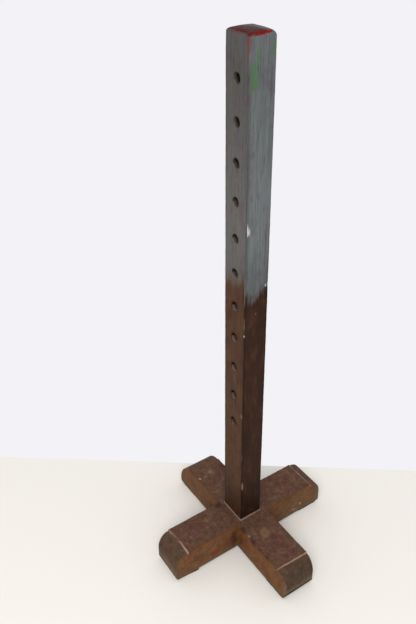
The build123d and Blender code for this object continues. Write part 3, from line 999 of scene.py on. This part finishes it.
def post_fields(piece):
    """Numbers that the post's material reads at each vertex.

    zones: height above the paint's edge counted in its softness, share of a plain side, and tone.
    marks: red, green and chips. rubs: pale rubbed edges, grey haze and the insides of the sockets, whose bare
    wood shows, in the stained part, mostly on the lit floors as painted light.
    wear: the four long edges, the top, and the rusty drip.
    The tone is the painted light and shade inside the sockets, or on the top a painted sheen over its back
    half, times that of the faces, times 1 - strength * a bell curve for each of: a halo round the mouths,
    runs under low sockets, the top's front right corner, the rims of the long edges, and a strip beside the
    front right one. Rims and strip leave the chips out.
    """
    place, normal = mesh_places(piece)
    x, y, level = place.T
    side = smooth(0.35, 0.65, np.abs(normal[:, 0]))
    on_front = y < front + 1
    edge = paint_edge(x, y)
    softness = PAINT_SOFTNESS + FRONT_SOFTER * (1 - side)
    inset = post_half - np.abs(place[:, :2])
    depth, from_edge = np.min(inset, axis=1), np.hypot(*inset.T)
    below_top = level < socket_levels[-1] + socket_radius + 2
    above = level - socket_levels[np.argmin(np.abs(level[:, None] - socket_levels), axis=1)]
    # Painted light and shade in the sockets: lit is 1 on a bore's floor and 0 under its roof. In the stained
    # part a bore shows its bare wood mostly on the lit floor and stain under the roof; in the painted part it
    # is bare all through.
    lit_from = np.interp(level, *LIT_FROM)
    lit = smooth(lit_from, lit_from - LIT_FADE, above / socket_radius)
    stained = smooth(*STAINED_SOCKETS, level)
    bare_and_lit_floor = (0.5 + 0.08 * smooth(*LIGHTER_LIT_FLOORS, level)) * lit
    inside = smooth(0.2, 1.0, depth) * below_top * (1 - stained * (0.9 - bare_and_lit_floor))

    halo = bell(np.hypot(x, above) - socket_radius, MOUTH_HALO) * (depth < 0.2) * (np.abs(normal[:, 1]) > 0.7)
    runs = bell(x - RUN_X, RUN_WIDTH) * smooth(*RUN_TOP, level) * smooth(*RUN_BOTTOM, level) * on_front
    from_corner = np.hypot(x - right + TOP_CORNER_IN, y - front - TOP_CORNER_IN)
    corner = bell(from_corner, TOP_CORNER_WIDTH) * smooth(*TOP_CORNER_DROP, post_top - level)
    chips = blots(place, CHIP_MARKS)
    rim = np.interp(level, *RIM_BY_LEVEL) * bell(from_edge, RIM_WIDTH) * (1 - chips)
    strip = np.interp(level, *STRIP_BY_LEVEL) * bell(y - front - STRIP_IN, STRIP_WIDTH)
    strip *= side * (x > 0) * (1 - chips)
    # Back half of the top: the tone gives it a painted sheen, and the top grime mostly leaves it out
    rear = smooth(-5, 8, y - 0.25 * x)
    upward = smooth(0.45, 0.9, normal[:, 2]) * (level > post_top - 12)
    tone = np.where(below_top, socket_painted_shading(level, depth, lit, stained), 1 + 0.28 * upward * rear)
    tone *= face_tone(x, y, level, side, edge) * (1 - (0.08 + 0.16 * stained) * halo - 0.14 * runs)
    tone *= (1 - 0.3 * corner) * (1 - rim) * (1 - strip)
    band = (0.3 + 0.12 * smooth(*BAND_START, level) * smooth(*BAND_STOP, level)) * smooth(*WARM_BAND, x)
    edges = np.maximum(0.55 * bell(from_edge, WARM_EDGE), band * on_front) * below_top
    top = upward * (1 - 0.95 * rear)
    set_attribute(piece, "zones", ((level - edge) / softness, side, tone))
    set_attribute(piece, "marks", (blots(place, RED_MARKS), blots(place, GREEN_MARKS), chips))
    set_attribute(piece, "rubs", (blots(place, RUB_MARKS), blots(place, HAZE_MARKS), inside))
    set_attribute(piece, "wear", (edges, top, blots(place, RUST_MARKS)))


# Marks on the foot bars, in each bar's own (along, across, level), as (centre, radii, strength)
UPPER_RUBS = [
    ((63, -2, bar_top), (12, 11, 5), 0.9),
    ((141, -26, 26), (12, 4, 22), 0.9),
    ((55, -27, bar_top), (5, 3, 3), 0.7),
    ((-90, 0, bar_top), (8, 6, 3), 0.8),
    ((-87, -13, bar_top), (4, 3, 3), 0.9),
    ((-126, -27, 48), (16, 4, 6), 0.8),
    ((-143, 0, 24), (5, 30, 10), 0.6),
]
UPPER_DIRT = [
    ((40, -28, bar_top), (12, 7, 7), 0.9),
    ((66, -28, bar_top - 2), (10, 5, 6), 0.9),
    ((84, -28, bar_top - 2), (6, 4, 5), 0.8),
    ((101, -28, bar_top - 2), (8, 5, 5), 0.8),
    ((40, 27, bar_top), (9, 6, 4), 0.3),
    ((134, -4, 36), (12, 16, 14), 0.5),
    ((64, -3, bar_top), (5.5, 4, 3), 0.5),
    ((36, -upper_half, 26), (9, 3, 26), 0.55),
    ((87, -9, bar_top), (11, 9, 3), 0.35),
    ((-88, 24, bar_top), (13, 10, 3), 0.6),
    ((-23, -28, bar_top), (8, 6, 4), 0.7),
    ((143, 27, 28), (6, 6, 18), 0.6),
]
UPPER_SPECKS = [
    ((54.5, -26.6, bar_top), (2.6, 2, 2), 1.0),
    ((-87, -24.7, bar_top), (4.2, 2.4, 2), 1.0),
    ((-86, -15, bar_top), (3.2, 1.8, 2), 0.9),
    ((-91, -1.5, bar_top), (3, 3, 2), 0.75),
]
UPPER_GRIME = [((-92, -1, bar_top), (18, 14, 3), 0.55), ((-118, -6, bar_top), (10, 22, 6), 0.5)]
UPPER_RED = [((46, -upper_half, 32), (18, 3, 18), 0.7)]
LOWER_RUBS = [
    ((-103, -5, bar_top), (4, 4, 3), 0.8),
    ((-71, -5, bar_top), (5, 4, 3), 0.7),
    ((92, -lower_half, 25), (10, 3, 8), 0.7),
    ((-60, 8, bar_top), (14, 9, 3), 0.5),
    ((-75, -lower_half, 29), (10, 3, 10), 0.6),
    ((-143, -4, 18), (6, 32, 15), 0.6),
]
LOWER_DIRT = [
    ((-31, 23, bar_top), (12, 11, 4), 0.75),
    ((-36, -lower_half, 26), (10, 3, 26), 0.8),
    ((-134, 2, 36), (12, 22, 14), 0.5),
    ((-50, -17, bar_top), (13, 9, 3), 0.45),
    ((75, 19, bar_top), (12, 10, 3), 0.5),
    ((117, -24, bar_top), (14, 6, 3), 0.5),
]
LOWER_SPECKS = [
    ((103, -lower_half, 20), (7, 2, 5.5), 0.68),
    ((90, -lower_half, 14), (11, 2, 5), 0.62),
    ((-103, -5, bar_top), (2.4, 2.2, 2), 0.6),
]
LOWER_GRIME = [
    ((95, -lower_half, 22), (60, 4, 40), 0.55),
    ((142, -lower_half, 26), (12, 5, 30), 0.8),
    ((110, 8, bar_top), (16, 22, 3), 0.45),
    ((-124, 10, bar_top - 4), (7, 18, 7), 0.6),
]
LOWER_RED = [
    ((-73, -lower_half, 21), (12, 3, 11), 1.2),
    ((-42, -lower_half, 27), (16, 3, 16), 0.6),
    ((-137, 2, 36), (16, 26, 20), 0.36),
]

# All the marks of each bar: rubbed places, dirt, pale specks, olive grime and red stains
UPPER_SPOTS = (UPPER_RUBS, UPPER_DIRT, UPPER_SPECKS, UPPER_GRIME, UPPER_RED)
LOWER_SPOTS = (LOWER_RUBS, LOWER_DIRT, LOWER_SPECKS, LOWER_GRIME, LOWER_RED)

# Tones of the left and right arm, and of the front and back arm: sides, moulded end, and painted shade on
# that end's heel
UPPER_TONES = (1.0, 1.0, 0.7), (1.0, 0.87, 0.72)
LOWER_TONES = (1.0, 0.97, 0.35), (0.9, 0.95, 0.7)

# Looks of the foot bars: heights over the underside, or depths under the top, at which each sets in
BORDER_REACH = 8  # from the border between top and side to where the border's count ends
END_BLEND = (20, 10)  # from a moulded end's tip, inwards, to where its own stain starts and is full
LINE_DEPTHS, RIM_DEPTHS, RIM_REACH = (6, 2.5), (4, 0), 2
# Painted shade near the floor: towards the underside, and darker on the moulded ends' heels
LOW_SHADE_HEIGHTS, HEEL_SHADE_HEIGHTS = (9, 0), (7, 3.5)
OLIVE_SIDE, OLIVE_END_TOP, OLIVE_END_BOTTOM, OLIVE_REACH = (13, 2), (22, 6), (3, 8), 3


def upper_line(along, across):
    """Strength and width of the pale line on the upper bar's steps: clear on the right, faint on the left."""
    return np.where(along > 0, 0.66 + 0.1 * smooth(0, 26, across), 0.15), 1.0


def lower_line(along, across):
    """Strength and width of the pale line on the lower bar's steps: the front one is finer on the right."""
    to_right = smooth(2, -24, across)
    strength = np.where(along < 0, 0.52 + 0.3 * to_right, 0.75)
    return strength, np.where(along < 0, 2.1 - 0.7 * to_right, 1.8)


def foot_fields(piece, own, half_width, mouldings, step, tones, pale_line, spots):
    """Numbers that the foot's material reads at each vertex.

    grain: place along, across and up the bar. faces: distance in from the worn border between the top and the
    sides, counted from 0 to 1 with the border at 0.5; share of moulded end; and tone, which holds painted
    shade towards the underside and on the moulded ends' heels.
    marks: pale step line and specks, rubbed places and dirt. grime: olive along the lower borders, and red
    stains. tones gives the tone of each arm's sides and of its moulded end, and the depth of the painted
    shade on that end's heel. The pale line is strength * exp(-((distance past the step) / width)^2).
    """
    place, normal = mesh_places(piece)
    along, across = own(place[:, 0], place[:, 1])
    level = place[:, 2]
    over, down = level - bar_bottom, bar_top - level
    grain = np.stack((along, across, level), -1)
    length, height = [np.where(along < 0, mouldings[0][i], mouldings[1][i]) for i in (0, 1)]
    side_tone, end_tone, heel_shade = [np.where(along < 0, tones[0][i], tones[1][i]) for i in (0, 1, 2)]
    past = np.abs(along - step_lean(along, across, half_width, mouldings)) - bar_reach + length
    curve = height * (np.sqrt(1 - np.clip(past / length, 0, 1) ** 2) - 1) - step
    below = np.where(past < 0, 0, curve) + down
    from_side = half_width - np.abs(across)
    on_side = np.abs(own(*normal[:, :2].T)[1]) > 0.7
    inwards = np.where(on_side, -np.minimum(below, bar_reach - np.abs(along)), from_side)
    border = 0.5 + 0.5 * np.clip(inwards / BORDER_REACH, -1, 1)
    end = smooth(*END_BLEND, length - past)
    strength, width = pale_line(along, across)
    line = strength * bell(past + 0.1, width) * smooth(*LINE_DEPTHS, down)
    rim = bell(from_side, RIM_REACH) * smooth(*RIM_DEPTHS, down)
    # Painted shade near the floor: darker towards the underside, and more on the moulded ends' heels
    heel = smooth(*HEEL_SHADE_HEIGHTS, over) * (past > 10) * (from_side > 1)
    tone = (1 - 0.15 * rim) * (1 - 0.3 * smooth(*LOW_SHADE_HEIGHTS, over)) * (1 - heel_shade * heel)
    tone *= np.where(on_side, side_tone, 1 + (end_tone - 1) * end)
    foot = smooth(*OLIVE_END_TOP, over) * smooth(*OLIVE_END_BOTTOM, over)
    end_olive = end * (foot + 0.6 * bell(from_side, OLIVE_REACH))
    olive = np.where(on_side, 0.75 * smooth(*OLIVE_SIDE, over), end_olive)
    rubs, dirt, specks, grime, red = [blots(grain, marks) for marks in spots]
    set_attribute(piece, "grain", grain.T)
    set_attribute(piece, "faces", (border, end, tone))
    set_attribute(piece, "marks", (np.maximum(line, specks), rubs, dirt))
    set_attribute(piece, "grime", (np.maximum(olive, grime), red, 0 * level))


class MUGTREE_OT_post(bpy.types.Operator):
    """Makes the post with its sockets, rounded top and slotted tenon"""

    bl_idname = "mug_tree.post"
    bl_label = "Post"

    def execute(self, context):
        settings = context.scene.mug_tree_post
        shell = Shell()
        ring, rim = post_shaft(shell, settings)
        post_sockets(shell, settings)
        post_tenon(shell, ring, rim)
        piece = shell.build("painted_post", SHARP_WOOD)
        post_fields(piece)
        dress(piece, painted_post_wood(settings), "post_wood", "post")
        return {"FINISHED"}


# Moulded ends as made by hand: how much shorter the round is than the set one, and its step's skew and bow
RIGHT_END, FRONT_END, BACK_END = (4.5, 0.85, 0.0), (1.5, 1.3, 1.8), (0.0, 0.0, 0.0)


class MUGTREE_OT_foot(bpy.types.Operator):
    """Makes the two halved foot bars and the putty bead at the post's base"""

    bl_idname = "mug_tree.foot"
    bl_label = "Cross foot"

    def execute(self, context):
        settings = context.scene.mug_tree_foot
        material = stained_foot_wood(settings)
        length, height = settings.round_length * MM, settings.round_height * MM
        left_end = (settings.worn_length * MM, settings.worn_height * MM, 0.0, 0.0)
        right_end, front_end, back_end = [
            (length - shorter, height, skew, bow) for shorter, skew, bow in (RIGHT_END, FRONT_END, BACK_END)
        ]
        step = settings.step * MM
        flare = tenon_half[1] + tenon_flare

        def along_x(along, across):
            """The upper bar's own places are those of the shared frame."""
            return np.stack((along, across), -1)

        def along_y(along, across):
            """The lower bar runs along Y, so its across is -X."""
            return np.stack((-across, along), -1)

        ends = (left_end, right_end)
        upper = foot_bar("upper_bar", settings, upper_half, lower_half, ends, True,
                         (tenon_half[0], tenon_half[0]), tenon_half[1], along_x)
        foot_fields(upper, lambda x, y: (x, y), upper_half, ends, step, UPPER_TONES, upper_line, UPPER_SPOTS)
        dress(upper, material, "foot_wood", "foot_bar_upper")
        ends = (front_end, back_end)
        lower = foot_bar("lower_bar", settings, lower_half, upper_half, ends, False,
                         (tenon_half[1], flare), tenon_half[0], along_y)
        foot_fields(lower, lambda x, y: (y, -x), lower_half, ends, step, LOWER_TONES, lower_line, LOWER_SPOTS)
        dress(lower, material, "foot_wood", "foot_bar_lower")
        bead = putty_bead(settings, context.scene.mug_tree_post)
        dress(bead, plain_grain("dry_putty", settings.putty), "foot_wood")
        return {"FINISHED"}


# Dust on the pads: all over the front one but its underside, and near the top of the others' edges
UNDERSIDE = -0.9  # upward part of a normal, below which a face counts as the underside
RIM_DUST, RIM_DUST_HEIGHTS = 0.6, (0.5, 1)  # strength, and shares of the thickness over which it sets in


class MUGTREE_OT_pads(bpy.types.Operator):
    """Makes the four felt pads under the arms' ends, the front one askew"""

    bl_idname = "mug_tree.pads"
    bl_label = "Felt pads"

    def execute(self, context):
        settings = context.scene.mug_tree_felt
        material = pressed_felt(settings)
        for number, side in enumerate(("front", "right", "back", "left")):
            low, high = node_box(f"foot_pad_{side}")
            skew = settings.front_skew if side == "front" else 0.0
            shape_low, shape_high = node_box("foot_pad_back" if side == "front" else f"foot_pad_{side}")
            half = ((shape_high - shape_low) / 2)[:2]
            centre = ((low + high) / 2)[:2]
            pad = felt_pad(f"felt_pad_{side}", centre, half, skew, settings, PAD_SEED + number)
            place, normal = mesh_places(pad)
            dusty_edge = 1.0 * (normal[:, 2] > UNDERSIDE)
            dusty_rim = RIM_DUST * smooth(*RIM_DUST_HEIGHTS, place[:, 2] / bar_bottom)
            soil = dusty_edge if side == "front" else dusty_rim
            set_attribute(pad, "soil", (soil, 0 * soil, 0 * soil))
            dress(pad, material, "felt", f"foot_pad_{side}")
        return {"FINISHED"}


class MUGTREE_OT_wedges(bpy.types.Operator):
    """Gives the tenon's two wedges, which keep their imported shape, a bare wood finish"""

    bl_idname = "mug_tree.wedges"
    bl_label = "Tenon wedges"

    def execute(self, context):
        material = plain_grain("bare_sawn_hardwood", context.scene.mug_tree_felt.wedge_wood)
        for name in ("tenon_wedge_front", "tenon_wedge_back"):
            wedge = frame["nodes"][name].data
            wedge.materials.clear()
            wedge.materials.append(material)
        return {"FINISHED"}


# Camera, as found from the photograph's corners and socket centres: its place in metres, and its angles
CAMERA_PLACE = (0.6442, -0.4908, 0.9674)
CAMERA_AZIMUTH, CAMERA_ELEVATION, CAMERA_ROLL = (math.radians(a) for a in (57.31, 30.53, -1.23))
FOCAL_PIXELS = 708.2
CENTRE_OFFSET = (-10.71, -35.79)  # pixels, right and down, from the image's middle to the lens axis
IMAGE_HEIGHT = 624
SENSOR = 36.0

# Stage, in metres: the floor ends in a straight line close behind the foot, and the key stands to the right
FLOOR_BACK = ((-0.3317, -0.2026), (0.0583, 0.3152))  # two points of that line
FLOOR_SIZE = 6.0
KEY_PLACE, KEY_AIM, KEY_SIZE = (1.5, -1.3, 2.1), (0, 0, 0.35), 1.6


class MUGTREE_OT_stage(bpy.types.Operator):
    """Sets the camera, the soft lights, the plain pale floor and the white beyond it"""

    bl_idname = "mug_tree.stage"
    bl_label = "Stage"

    def execute(self, context):
        settings = context.scene.mug_tree_stage
        scene = context.scene
        scene.view_settings.view_transform = "Standard"

        lens = bpy.data.cameras.new("camera")
        lens.sensor_width = SENSOR
        lens.lens = FOCAL_PIXELS * SENSOR / IMAGE_HEIGHT
        lens.shift_x = -CENTRE_OFFSET[0] / IMAGE_HEIGHT
        lens.shift_y = CENTRE_OFFSET[1] / IMAGE_HEIGHT
        a, e, r = CAMERA_AZIMUTH, CAMERA_ELEVATION, CAMERA_ROLL
        behind = np.array((math.sin(a) * math.cos(e), -math.cos(a) * math.cos(e), math.sin(e)))
        level = np.array((math.cos(a), math.sin(a), 0.0))
        up = np.cross(behind, level)
        axes = (math.cos(r) * level + math.sin(r) * up, math.cos(r) * up - math.sin(r) * level, behind)
        camera = bpy.data.objects.new("camera", lens)
        camera.matrix_world = Matrix.Translation(CAMERA_PLACE) @ Matrix(axes).transposed().to_4x4()
        scene.collection.objects.link(camera)
        scene.camera = camera

        start, stop = map(np.array, FLOOR_BACK)
        run = (stop - start) / np.linalg.norm(stop - start)
        ahead = run[::-1] * (1, -1)
        edge = [start - FLOOR_SIZE * run, start + FLOOR_SIZE * run]
        corners = [*edge, edge[1] + 2 * FLOOR_SIZE * ahead, edge[0] + 2 * FLOOR_SIZE * ahead]
        sheet = bpy.data.meshes.new("floor")
        sheet.from_pydata([(*corner, 0.0) for corner in corners], [], [(3, 2, 1, 0)])
        floor = bpy.data.objects.new("floor", sheet)
        scene.collection.objects.link(floor)
        material, tree = new_material("matt_pale_floor")
        look = {"Base Color": settings.floor, "Roughness": 0.8, "Specular IOR Level": 0.2}
        add_node(tree, "OutputMaterial", {"Surface": add_node(tree, "BsdfPrincipled", look)})
        sheet.materials.append(material)

        lamp = bpy.data.lights.new("key", "AREA")
        lamp.shape, lamp.size = "DISK", KEY_SIZE
        lamp.energy = settings.key_power
        key = bpy.data.objects.new("key", lamp)
        key.location = KEY_PLACE
        key.rotation_euler = (Vector(KEY_AIM) - Vector(KEY_PLACE)).to_track_quat("-Z", "Y").to_euler()
        scene.collection.objects.link(key)

        world = bpy.data.worlds.new("surround")
        world.use_nodes = True
        tree = world.node_tree
        tree.nodes.clear()
        rays = add_node(tree, "LightPath", {}).node.outputs
        seen = rays["Is Camera Ray"]
        for kind in ("Is Glossy Ray", "Is Transmission Ray"):
            seen = add_node(tree, "Math", {0: seen, 1: rays[kind]}, operation="MAXIMUM")
        glow = add_node(tree, "Background", {0: settings.surround, 1: settings.surround_strength})
        white = add_node(tree, "Background", {0: settings.background, 1: 1.0})
        add_node(tree, "OutputWorld", {0: add_node(tree, "MixShader", {0: seen, 1: glow, 2: white})})
        scene.world = world
        return {"FINISHED"}


STEPS = (MUGTREE_OT_post, MUGTREE_OT_foot, MUGTREE_OT_pads, MUGTREE_OT_wedges, MUGTREE_OT_stage)
GROUPS = {
    "mug_tree_post": PostSettings,
    "mug_tree_foot": FootSettings,
    "mug_tree_felt": FeltSettings,
    "mug_tree_stage": StageSettings,
}


class MUGTREE_PT_panel(bpy.types.Panel):
    """Lists the settings and the steps"""

    bl_idname = "MUGTREE_PT_panel"
    bl_label = "Mug tree"
    bl_space_type = "VIEW_3D"
    bl_region_type = "UI"
    bl_category = "Mug Tree"

    def draw(self, context):
        for name in GROUPS:
            column = self.layout.column()
            group = getattr(context.scene, name)
            for key in group.bl_rna.properties.keys():
                if key not in ("rna_type", "name"):
                    column.prop(group, key)
        for step in STEPS:
            self.layout.operator(step.bl_idname)


def register():
    """Registers the settings, the steps and the panel."""
    for kind in (*GROUPS.values(), *STEPS, MUGTREE_PT_panel):
        bpy.utils.register_class(kind)
    for name, group in GROUPS.items():
        setattr(bpy.types.Scene, name, bpy.props.PointerProperty(type=group))


def unregister():
    """Takes them away again."""
    for name in GROUPS:
        delattr(bpy.types.Scene, name)
    for kind in (MUGTREE_PT_panel, *reversed(STEPS), *GROUPS.values()):
        bpy.utils.unregister_class(kind)


def main():
    """Makes every piece and the stage."""
    register()
    for step in STEPS:
        getattr(bpy.ops.mug_tree, step.bl_idname.split(".")[1])()


if __name__ == "__main__":
    main()
